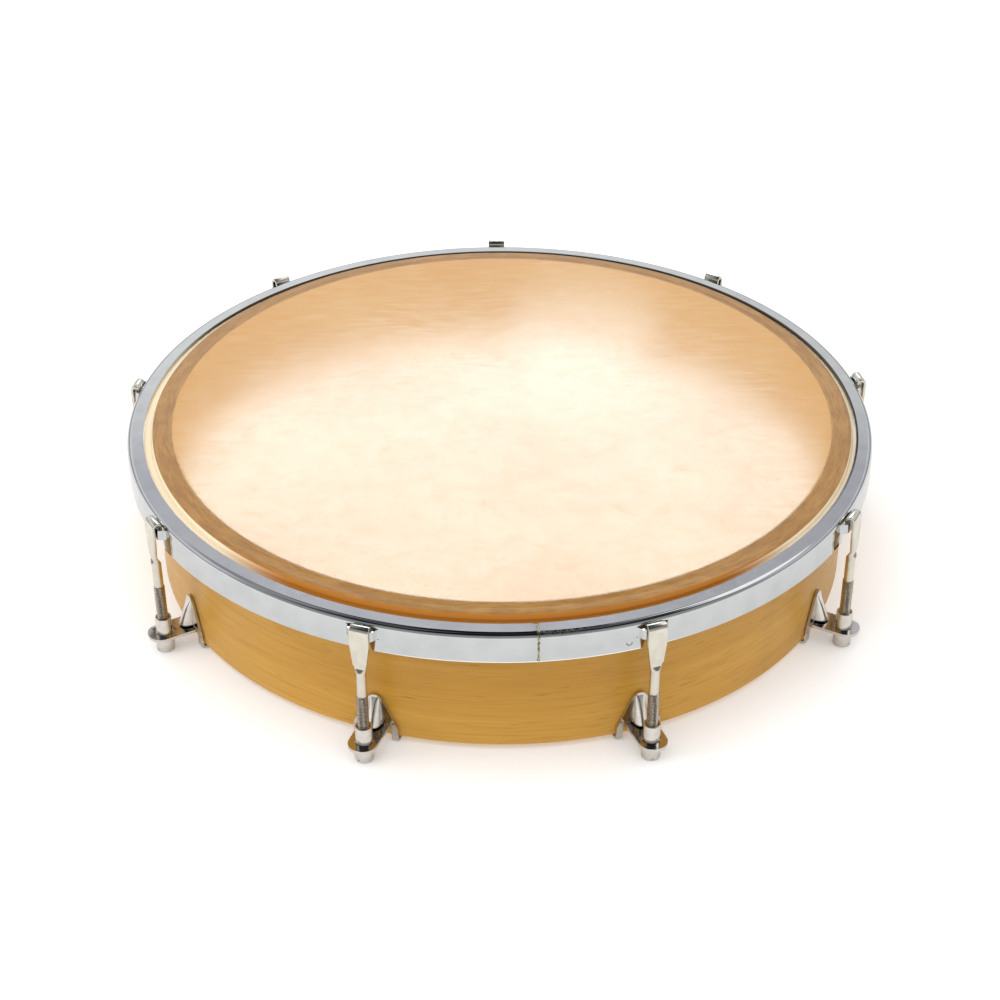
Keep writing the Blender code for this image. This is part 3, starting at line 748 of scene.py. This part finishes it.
def shell_finish():
    """Varnished maple: grain runs round the shell, plies show on the edges, a lap joint at the back."""
    f = Finish("shell_maple", 0.34, specular=0.34)
    _x, _y, z, radius, angle = f.polar()
    along = f.times(angle, SHELL_RADIUS)
    curve = f.add("ShaderNodeCombineXYZ", {0: along, 1: z, 2: radius}).outputs[0]

    def grain(x, y, zz, scale, detail, distortion=0.0):
        where = f.add("ShaderNodeMapping", {"Vector": curve, "Scale": (x, y, zz)}).outputs["Vector"]
        return f.noise(where, scale, detail, 0.6, distortion)

    broad = grain(0.10, 1.6, 0.6, 42.0, 3.0, 0.6)
    fibre = grain(0.06, 2.2, 1.0, 420.0, 4.0)
    cloud = grain(0.5, 0.7, 0.5, 14.0, 2.0)
    fleck = f.span(grain(0.16, 2.0, 1.0, 330.0, 2.0), 0.66, 0.76)
    color = f.mix(f.span(broad, 0.30, 0.72), rgb(0.57, 0.300, 0.044), rgb(0.50, 0.245, 0.028))
    color = f.mix(f.span(cloud, 0.35, 0.75, 0.0, 0.5), color, rgb(0.62, 0.335, 0.058))
    color = f.mix(f.span(fibre, 0.40, 0.78, 0.0, 0.55), color, rgb(0.42, 0.190, 0.018))
    growth = f.span(f.math("PINGPONG", broad, 0.045), 0.010, 0.0, 0.0, 0.35)
    color = f.mix(growth, color, rgb(0.40, 0.170, 0.018))
    color = f.mix(f.times(fleck, 0.6), color, rgb(0.22, 0.08, 0.012))
    ply = f.math("PINGPONG", f.minus(radius, SHELL_INSIDE), 0.00074)
    glue = f.span(ply, 0.00010, 0.0, 0.0, 0.75)
    on_edge = f.span(f.math("ABSOLUTE", f.facing_up()), 0.55, 0.85)
    edge_color = f.mix(glue, rgb(0.52, 0.30, 0.10), rgb(0.16, 0.07, 0.02))
    color = f.mix(on_edge, color, edge_color)
    inside = f.span(radius, SHELL_INSIDE + 0.0008, SHELL_INSIDE + 0.0003)
    color = f.mix(f.times(inside, 0.45), color, rgb(0.66, 0.43, 0.16))
    lap = f.plus(angle, f.times(z, 9.0))
    joint = f.span(f.math("ABSOLUTE", f.minus(lap, 2.35)), 0.0030, 0.0010, 0.0, 0.7)
    color = f.mix(joint, color, rgb(0.14, 0.06, 0.015))
    f.set("Base Color", color)
    f.set("Roughness", f.plus(f.span(fibre, 0.3, 0.8, 0.27, 0.42), f.times(inside, 0.18)))
    f.bump(f.minus(fibre, f.times(joint, 2.0)), 0.00006)
    return f.material


def hide_field(f, patches, blotches, streaks, fine, pore):
    """The honey colour of the hide over the open drum."""
    color = f.mix(f.span(patches, 0.35, 0.70), rgb(0.590, 0.322, 0.099), rgb(0.560, 0.293, 0.081))
    color = f.mix(f.span(blotches, 0.50, 0.75, 0.0, 0.55), color, rgb(0.59, 0.280, 0.066))
    color = f.mix(f.span(streaks, 0.35, 0.75, 0.0, 0.30), color, rgb(0.64, 0.380, 0.146))
    color = f.mix(f.span(fine, 0.45, 0.75, 0.0, 0.20), color, rgb(0.44, 0.205, 0.056))
    return f.mix(f.times(pore, 0.20), color, rgb(0.34, 0.15, 0.045))


def hide_ring_painted_shade(f, blotches, radius, angle):
    """Painted shade: the hide drawn browner where the wood backs it and keeps light from shining through,
    with strands along the rim.
    """
    rim = f.add("ShaderNodeCombineXYZ", {0: f.times(angle, SHELL_RADIUS), 1: radius}).outputs[0]
    drawn = f.add("ShaderNodeMapping", {"Vector": rim, "Scale": (0.16, 1.0, 1.0)}).outputs["Vector"]
    fibres = f.noise(drawn, 900.0, 4.0, 0.6)
    strands = f.noise(drawn, 320.0, 3.0, 0.6)
    ring = f.mix(f.span(blotches, 0.35, 0.7), rgb(0.37, 0.194, 0.058), rgb(0.43, 0.234, 0.074))
    ring = f.mix(f.span(strands, 0.35, 0.72, 0.0, 0.75), ring, rgb(0.285, 0.140, 0.042))
    return f.mix(f.span(fibres, 0.45, 0.75, 0.0, 0.55), ring, rgb(0.215, 0.100, 0.030))


def hide_sheen(f, patches, fine, pore):
    """How strongly the hide reflects: worn patches, dull grain, dull spots and pores."""
    worn = f.noise(f.stretched(0.8, 1.0, 1.0), 110.0, 4.0, 0.7, 0.5)
    gloss = f.times(f.span(worn, 0.32, 0.68, 0.88, 1.07), f.span(patches, 0.30, 0.72, 1.04, 0.93))
    sheen = f.minus(gloss, f.times(f.span(fine, 0.42, 0.70), 0.26))
    spots = f.span(f.noise(f.stretched(0.7, 1.0, 1.0), 70.0, 3.0, 0.6, 0.4), 0.60, 0.72)
    sheen = f.minus(sheen, f.times(spots, 0.16))
    return f.times(f.minus(sheen, f.times(pore, 0.40)), 0.425)


def skin_finish():
    """Natural hide: honey field with pores and cloudy patches; painted shade where the wood backs it, and
    painted light and shade on the rim's bend and collar.
    """
    f = Finish("natural_skin", 0.08, specular=0.42)
    _x, y, _z, radius, angle = f.polar()
    patches = f.noise(f.place, 14.0, 3.0, 0.5, 0.4)
    blotches = f.noise(f.place, 38.0, 4.0, 0.6, 0.8)
    streaks = f.noise(f.stretched(0.22, 1.5, 1.0), 260.0, 4.0, 0.65)
    fine = f.noise(f.stretched(0.7, 1.0, 1.0), 700.0, 4.0, 0.7)
    pores = f.add("ShaderNodeTexVoronoi", {"Vector": f.place, "Scale": 620.0}).outputs["Distance"]
    pore = f.span(pores, 0.20, 0.05)
    wander = f.times(f.minus(f.noise(f.place, 90.0, 4.0), 0.5), 0.0012)
    # Where the wood backs the hide its colour is painted shade: the wood keeps light from shining through.
    backed = f.span(f.plus(radius, wander), SHELL_INSIDE - 0.0003, SHELL_INSIDE + 0.0003)
    field = hide_field(f, patches, blotches, streaks, fine, pore)
    color = f.mix(backed, field, hide_ring_painted_shade(f, blotches, radius, angle))
    # Painted light and shade round the rim: in front the bend and wall are drawn orange as painted shade.
    front = f.span(y, -0.105, -0.140)
    front_rim_painted_shade = f.times(f.span(radius, SHELL_RADIUS - 0.0012, SHELL_RADIUS + 0.0004), front)
    color = f.mix(front_rim_painted_shade, color, rgb(0.44, 0.160, 0.018))
    # Painted highlight and shade on the collar: pale cream away from the front, orange in front.
    collar = f.span(radius, SHELL_RADIUS + 0.0002, SHELL_RADIUS + 0.0006)
    color = f.mix(collar, color, f.mix(front, rgb(0.95, 0.80, 0.56), rgb(0.44, 0.160, 0.018)))
    dots = f.add("ShaderNodeTexVoronoi", {"Vector": f.place, "Scale": 17.0}).outputs["Distance"]
    spot = f.times(f.span(dots, 0.030, 0.012), f.span(patches, 0.50, 0.58))
    color = f.mix(f.times(spot, 0.6), color, rgb(0.30, 0.14, 0.05))
    f.set("Base Color", color)
    f.set("Specular IOR Level", hide_sheen(f, patches, fine, pore))
    dull = f.plus(f.times(pore, 0.05), f.times(backed, 0.04))
    f.set("Roughness", f.plus(f.span(streaks, 0.3, 0.8, 0.07, 0.12), dull))
    f.bump(f.plus(f.times(fine, 0.5), f.minus(streaks, f.times(pore, 0.8))), 0.000005)
    return f.material


def flesh_finish():
    """Bare wood with short grain along the ring."""
    f = Finish("flesh_wood", 0.6, specular=0.3)
    _x, _y, z, radius, angle = f.polar()
    curve = f.add("ShaderNodeCombineXYZ", {0: f.times(angle, 0.02), 1: z, 2: radius}).outputs[0]
    grain = f.noise(curve, 700.0, 4.0, 0.6)
    f.set("Base Color", f.mix(f.span(grain, 0.3, 0.75), rgb(0.55, 0.38, 0.20), rgb(0.38, 0.23, 0.10)))
    f.bump(grain, 0.0001)
    return f.material


def crease_shade_and_thread_grime(f, tint, scratch):
    """A hook's colour: painted shade on the crease's upward-facing slopes, dull with residue in the thread.
    """
    height = f.split(f.place)[2]
    low, high, fade = CREASE_LOW + 0.0008, CREASE_HIGH, 0.0004
    inside = f.times(f.span(height, low - fade, low), f.span(height, high + fade, high))
    # Painted shade: the upward-facing slopes in the crease are drawn dark.
    shade = f.times(inside, f.span(f.facing_up(), 0.10, 0.22), 0.8)
    tint = f.mix(shade, tint, rgb(0.10, 0.085, 0.075))
    grimy = f.span(height, THREAD_TOP + 0.0003, THREAD_TOP - 0.0003)
    grime = f.times(grimy, f.span(scratch, 0.3, 0.7, 0.25, 0.65))
    return f.mix(grime, tint, rgb(0.42, 0.34, 0.285)), f.times(grimy, 0.08)


def metal_finish(name, color, worn, roughness, scale, wave, forged=False):
    """Plated metal: faint clouding, hairline scratches and an uneven surface; forged is for the hooks, and
    adds painted shade in their crease and grime in their thread.
    """
    f = Finish(name, roughness, metallic=1.0)
    cloud = f.noise(f.place, scale, 3.0, 0.55)
    scratch = f.noise(f.stretched(1.0, 1.0, 7.0), 3.4 * scale, 2.0, 0.7)
    mark = f.span(scratch, 0.60, 0.78)
    tint = f.mix(f.span(cloud, 0.35, 0.75, 0.0, 0.6), color, worn)
    rough = f.plus(f.span(cloud, 0.3, 0.8, roughness, 1.8 * roughness), f.times(mark, 0.10))
    if forged:
        # The hooks get painted shade in the crease and grime in the thread.
        tint, residue = crease_shade_and_thread_grime(f, tint, scratch)
        rough = f.plus(rough, residue)
    f.set("Base Color", tint)
    f.set("Roughness", rough)
    low = f.noise(f.place, 0.12 * scale, 2.0, 0.5)
    f.bump(f.plus(f.times(low, wave), f.times(mark, 0.04)), 0.0003)
    return f.material


def ding_stain_and_shade(f, z, angle):
    """1 along the lower half of a small ring round the ding in the band, drawn dark: a stain with painted
    shade.
    """
    ding = math.remainder(DING_ANGLE + math.pi / 2, 2 * math.pi)
    beside = f.times(f.minus(angle, ding), HOOP_RADIUS)
    above = f.minus(z, raised(DING_HEIGHT))
    away = f.math("SQRT", f.plus(f.times(beside, beside), f.times(above, above)))
    ring = f.span(f.math("ABSOLUTE", f.minus(away, 0.0012)), 0.0005, 0.0002)
    return f.times(ring, f.span(above, 0.0004, -0.0002))


def weld_rust(f, height, radius, angle, weld, speck):
    """Rust specks on the roll, to one side of the weld."""
    beside = f.times(f.span(angle, weld, weld + 0.012), f.span(angle, weld + 0.17, weld + 0.06))
    outer = f.span(radius, HOOP_RADIUS - 0.0026, HOOP_RADIUS - 0.0021)
    on_roll = f.times(f.span(height, 0.0652, 0.0660), outer)
    return f.times(beside, on_roll, f.span(speck, 0.44, 0.58))


def lip_shade(f, radius, angle):
    """The flange's inner lip, dark from the right round the back to the left."""
    from_left = f.math("DIVIDE", f.plus(angle, math.pi / 2), BOW_SPREAD)
    bow = f.times(f.math("EXPONENT", f.times(from_left, from_left, -1.0)), HOOP_BOW)
    lip = f.span(f.minus(radius, bow), FLANGE_INSIDE + 0.00055, FLANGE_INSIDE + 0.00035)
    shaded = f.math("MAXIMUM", f.span(angle, 0.9, 1.4), f.span(angle, -1.75, -2.15))
    return f.times(lip, shaded, 0.95)


def hoop_finish():
    """Bright chrome, stained where the hoop's ends are welded together, with a painted highlight on the
    band's lower edge in front, a dark stain and painted shade round the ding, and painted shadow on the
    flange's inner lip.
    """
    f = Finish("hoop_chrome", 0.07, metallic=1.0)
    x, y, z, radius, angle = f.polar()
    cloud = f.noise(f.place, 90.0, 3.0, 0.55)
    smear = f.noise(f.stretched(1.0, 1.0, 0.35), 420.0, 3.0, 0.65)
    speck = f.noise(f.stretched(1.0, 1.0, 0.7), 1100.0, 3.0, 0.7)
    weld = math.remainder(WELD_ANGLE + math.pi / 2, 2 * math.pi)
    off = f.math("ABSOLUTE", f.minus(angle, weld))
    ragged = f.plus(off, f.times(f.minus(smear, 0.5), 0.006))
    line = f.span(ragged, 0.0042, 0.0012)
    halo = f.span(ragged, 0.040, 0.005, 0.0, 0.35)
    color = f.mix(f.span(cloud, 0.35, 0.75), rgb(0.56, 0.575, 0.575), rgb(0.51, 0.525, 0.53))
    color = f.mix(f.times(halo, smear), color, rgb(0.38, 0.37, 0.34))
    stained = f.mix(f.span(speck, 0.46, 0.56), rgb(0.42, 0.38, 0.20), rgb(0.09, 0.075, 0.05))
    color = f.mix(f.times(line, f.span(speck, 0.30, 0.50, 0.35, 0.95)), color, stained)
    # The ding's lower rim: a dark stain with painted shade.
    color = f.mix(f.times(ding_stain_and_shade(f, z, angle), 0.8), color, rgb(0.16, 0.17, 0.15))
    slope = f.plus(f.times(f.plus(y, HOOP_RADIUS), HOOP_SLOPE_Y), f.times(x, HOOP_SLOPE_X))
    height = f.minus(f.minus(z, slope), raised(0.0))
    # Painted highlight: the band's lower edge is drawn pale near the weld, at the front.
    lower_edge_highlight = f.span(height, HOOP_BOTTOM + 0.0006, HOOP_BOTTOM + 0.0002)
    color = f.mix(f.times(lower_edge_highlight, f.span(off, 0.45, 0.25)), color, rgb(0.88, 0.90, 0.89))
    rust = weld_rust(f, height, radius, angle, weld, speck)
    color = f.mix(f.times(rust, 0.6), color, rgb(0.22, 0.18, 0.14))
    color = f.mix(lip_shade(f, radius, angle), color, rgb(0.03, 0.02, 0.012))
    f.set("Base Color", color)
    rough = f.plus(f.span(smear, 0.45, 0.8, 0.045, 0.12), f.times(line, 0.35))
    f.set("Roughness", f.plus(rough, f.times(rust, 0.40)))
    f.bump(f.plus(f.noise(f.place, 26.0, 2.0, 0.5), f.times(line, smear, 0.5)), 0.00025)
    return f.material


# ---------------------------------------------------------------- assembly

def placed(name, mesh, finish, body, node, matrix=None):
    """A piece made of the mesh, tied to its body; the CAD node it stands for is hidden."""
    mesh.materials.clear()
    mesh.materials.append(finish)
    piece = bpy.data.objects.new(name, mesh)
    bpy.context.scene.collection.objects.link(piece)
    if matrix is not None:
        piece.matrix_world = matrix
    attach(piece, body)
    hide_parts(node)
    return piece


def build_rings():
    placed("shell_wood", shell_mesh(), shell_finish(), "shell_assembly", "shell")
    placed("playing_skin", skin_mesh(), skin_finish(), "shell_assembly", "skin_head")
    placed("flesh_ring", flesh_hoop_mesh(), flesh_finish(), "shell_assembly", "flesh_hoop")
    placed("tension_hoop_sheet", counter_hoop_mesh(), hoop_finish(), "tension_hoop", "counter_hoop")


def hook_place(index, turn):
    """Where a hook hangs: it rides on the hoop's slope and leans out with the hoop's bow."""
    rod = (turn @ Matrix.Translation((0.0, ROD_AXIS, 0.0))).translation
    lift = settled(rod.x, rod.y) + HOOK_SLACK[index]
    tilt = (bowed(math.pi / 2 + 2 * math.pi * index / STATIONS) + HOOK_LEAN[index]) / HOOK_REACH
    pivot = Matrix.Translation((0.0, ROD_AXIS, HOOK_PIVOT))
    held = turn @ Matrix.Translation((0.0, 0.0, raised(0.0) + lift))
    return held @ pivot @ Matrix.Rotation(-tilt, 4, "X") @ pivot.inverted()


def build_stations():
    """The hook, nut, bracket, screw and washer at each station; a nut's slot may face any way."""
    rng = random.Random(13)
    claw = metal_finish("hook_nickel", rgb(0.69, 0.66, 0.57), rgb(0.58, 0.54, 0.45), 0.16, 260.0, 0.35,
                        forged=True)
    sleeve = metal_finish("nut_nickel", rgb(0.73, 0.71, 0.66), rgb(0.60, 0.57, 0.50), 0.14, 300.0, 0.3)
    plate = metal_finish("bracket_nickel", rgb(0.68, 0.66, 0.62), rgb(0.55, 0.52, 0.47), 0.10, 240.0, 0.8)
    zinc = metal_finish("screw_zinc", rgb(0.58, 0.57, 0.54), rgb(0.44, 0.43, 0.40), 0.30, 400.0, 0.4)
    hook, nut, bracket, screw, washer = hook_mesh(), nut_mesh(), bracket_mesh(), screw_mesh(), washer_mesh()
    for index in range(STATIONS):
        number = index + 1
        turn = Matrix.Rotation(2 * math.pi * index / STATIONS, 4, "Z")
        base = turn @ Matrix.Translation((0.0, 0.0, raised(0.0)))
        held = hook_place(index, turn)
        spin = Matrix.Rotation(rng.uniform(-0.4, 0.4), 4, "Z")
        spin = base @ Matrix.Translation((0.0, ROD_AXIS, 0.0)) @ spin
        placed(f"claw_hook_{number}", hook, claw, "tension_hoop", f"hook_{number}", held)
        placed(f"sleeve_nut_{number}", nut, sleeve, f"tension_nut_{number}", f"nut_{number}",
               spin)
        placed(f"pressed_bracket_{number}", bracket, plate, "shell_assembly", f"bracket_{number}",
               base)
        placed(f"inner_screw_{number}", screw, zinc, "shell_assembly", f"bracket_screw_{number}",
               base)
        placed(f"inner_washer_{number}", washer, zinc, "shell_assembly", f"screw_washer_{number}",
               base)


# ---------------------------------------------------------------- studio

def build_floor():
    """A plain pale floor under the nuts: clear from below, and it lights the drum evenly from underneath."""
    level = raised(NUT_BOTTOM)
    half = 6.0
    mesh = bpy.data.meshes.new("floor")
    corners = [(-half, -half, level), (half, -half, level), (half, half, level), (-half, half, level)]
    mesh.from_pydata(corners, [], [(0, 1, 2, 3)])
    f = Finish("floor_white", 1.0, specular=0.0)
    f.set("Base Color", rgb(0.95, 0.95, 0.95))
    under = f.add("ShaderNodeNewGeometry").outputs["Backfacing"]
    clear = f.add("ShaderNodeBsdfTransparent").outputs[0]
    glow = f.add("ShaderNodeEmission", {"Color": rgb(1.0, 1.0, 1.0), "Strength": 1.06}).outputs[0]
    path = f.add("ShaderNodeLightPath").outputs
    f.set("Emission Color", rgb(1.0, 1.0, 1.0))
    f.set("Emission Strength", f.times(path["Is Camera Ray"], 0.15))
    painted = f.shader.outputs[0]
    lit = f.add("ShaderNodeMixShader", {0: path["Is Diffuse Ray"], 1: painted, 2: glow}).outputs[0]
    cover = f.add("ShaderNodeMixShader", {0: under, 1: lit, 2: clear}).outputs[0]
    f.tree.links.new(cover, f.tree.nodes["Material Output"].inputs["Surface"])
    mesh.materials.append(f.material)
    floor = bpy.data.objects.new("floor", mesh)
    bpy.context.scene.collection.objects.link(floor)


def build_world():
    """A white studio with a dark side in front of the drum and a pale grey wall behind it."""
    world = bpy.data.worlds.new("studio")
    bpy.context.scene.world = world
    world.use_nodes = True
    world.cycles.sampling_method = "NONE"
    world.node_tree.nodes.clear()
    w = Nodes(world.node_tree)
    step, times, mix = w.span, w.times, w.mix
    way = w.split(w.add("ShaderNodeTexCoord").outputs["Generated"])
    rise = times(w.math("ARCSINE", way[2]), 180.0 / math.pi)
    heading = times(w.math("ARCTAN2", way[0], way[1]), 180.0 / math.pi)
    side = w.math("ABSOLUTE", heading)
    back = mix(step(rise, 14.0, 26.0), rgb(0.58, 0.58, 0.63), rgb(1.17, 1.17, 1.18))
    back = mix(step(rise, 27.0, 34.0), back, rgb(0.78, 0.78, 0.85))
    back = mix(step(rise, 34.0, 38.0), back, rgb(0.79, 0.785, 0.84))
    back = mix(times(step(heading, 4.0, 11.0), 0.20), back, rgb(0.0, 0.0, 0.0))
    back = mix(times(step(heading, -4.0, -11.0), 0.06), back, rgb(0.0, 0.0, 0.0))
    left = times(step(heading, -12.0, -26.0), step(rise, 72.0, 60.0))
    right = times(step(heading, 12.0, 24.0), step(rise, 66.0, 58.0))
    upper = mix(left, rgb(0.01, 0.01, 0.012), rgb(0.40, 0.40, 0.43))
    upper = mix(right, upper, rgb(1.50, 1.50, 1.52))
    back = mix(step(rise, 42.0, 47.0), back, upper)
    front = mix(step(rise, -8.0, 8.0), rgb(0.85, 0.85, 0.85), rgb(0.46, 0.46, 0.46))
    front = mix(step(rise, 8.0, 60.0), front, rgb(0.26, 0.26, 0.27))
    front = mix(step(rise, 40.0, 54.0), front, rgb(0.012, 0.012, 0.014))
    color = mix(step(side, 85.0, 105.0), back, front)
    beside = times(step(side, 35.0, 60.0), step(side, 145.0, 120.0), step(rise, 62.0, 74.0))
    color = mix(beside, color, rgb(0.14, 0.14, 0.15))
    color = mix(step(rise, 83.0, 85.0), color, rgb(0.06, 0.06, 0.065))
    path = w.add("ShaderNodeLightPath").outputs
    color = mix(path["Is Diffuse Ray"], color, rgb(1.1, 1.1, 1.1))
    color = mix(path["Is Camera Ray"], color, rgb(1.0, 1.0, 1.0))
    background = w.add("ShaderNodeBackground", {"Color": color, "Strength": 1.0})
    w.add("ShaderNodeOutputWorld", {0: background.outputs[0]})


WINDOW_TINT = (0.66, 0.88, 1.0)


def build_light(name, shape, place, width, height, power, glossy_only=False):
    """A soft light aimed at the drum; glossy_only makes it a cool window that only shows in reflections."""
    data = bpy.data.lights.new(name, "AREA")
    data.shape = shape
    data.size, data.size_y = width, height
    data.energy = power
    data.color = WINDOW_TINT if glossy_only else (1.0, 1.0, 1.0)
    lamp = bpy.data.objects.new(name, data)
    bpy.context.scene.collection.objects.link(lamp)
    lamp.location = place
    lamp.rotation_euler = lamp.location.to_track_quat("Z", "Y").to_euler()
    lamp.visible_glossy = glossy_only
    lamp.visible_diffuse = not glossy_only
    lamp.visible_camera = False


def build_camera():
    """Straight above the front of the drum, looking down on it, a touch to its left."""
    data = bpy.data.cameras.new("camera")
    data.lens, data.sensor_width = 76.60, 36.0
    camera = bpy.data.objects.new("camera", data)
    bpy.context.scene.collection.objects.link(camera)
    pitch, roll, turn = math.radians(33.450), math.radians(0.166), math.radians(-0.992)
    place = Matrix.Translation((-0.00073, -0.86627, raised(0.58983)))
    aim = Matrix.Rotation(math.pi / 2 - pitch, 4, "X") @ Matrix.Rotation(roll, 4, "Z")
    camera.matrix_world = Matrix.Rotation(turn, 4, "Z") @ place @ aim
    bpy.context.scene.camera = camera


build_rings()
build_stations()
build_floor()
build_world()
build_light("softbox_above", "RECTANGLE", (-0.5, -0.5, 1.9), 1.6, 1.6, 6.0)
build_light("softbox_left", "RECTANGLE", (-2.4, -0.5, 0.45), 1.2, 1.0, 15.0)
build_light("softbox_behind", "ELLIPSE", (0.29, 16.65, 11.08), 6.40, 3.25, 435.0, glossy_only=True)
build_light("softbox_low", "ELLIPSE", (1.10, 17.50, 9.62), 1.50, 0.70, 9.0, glossy_only=True)
build_camera()
bpy.context.scene.view_settings.view_transform = "Standard"
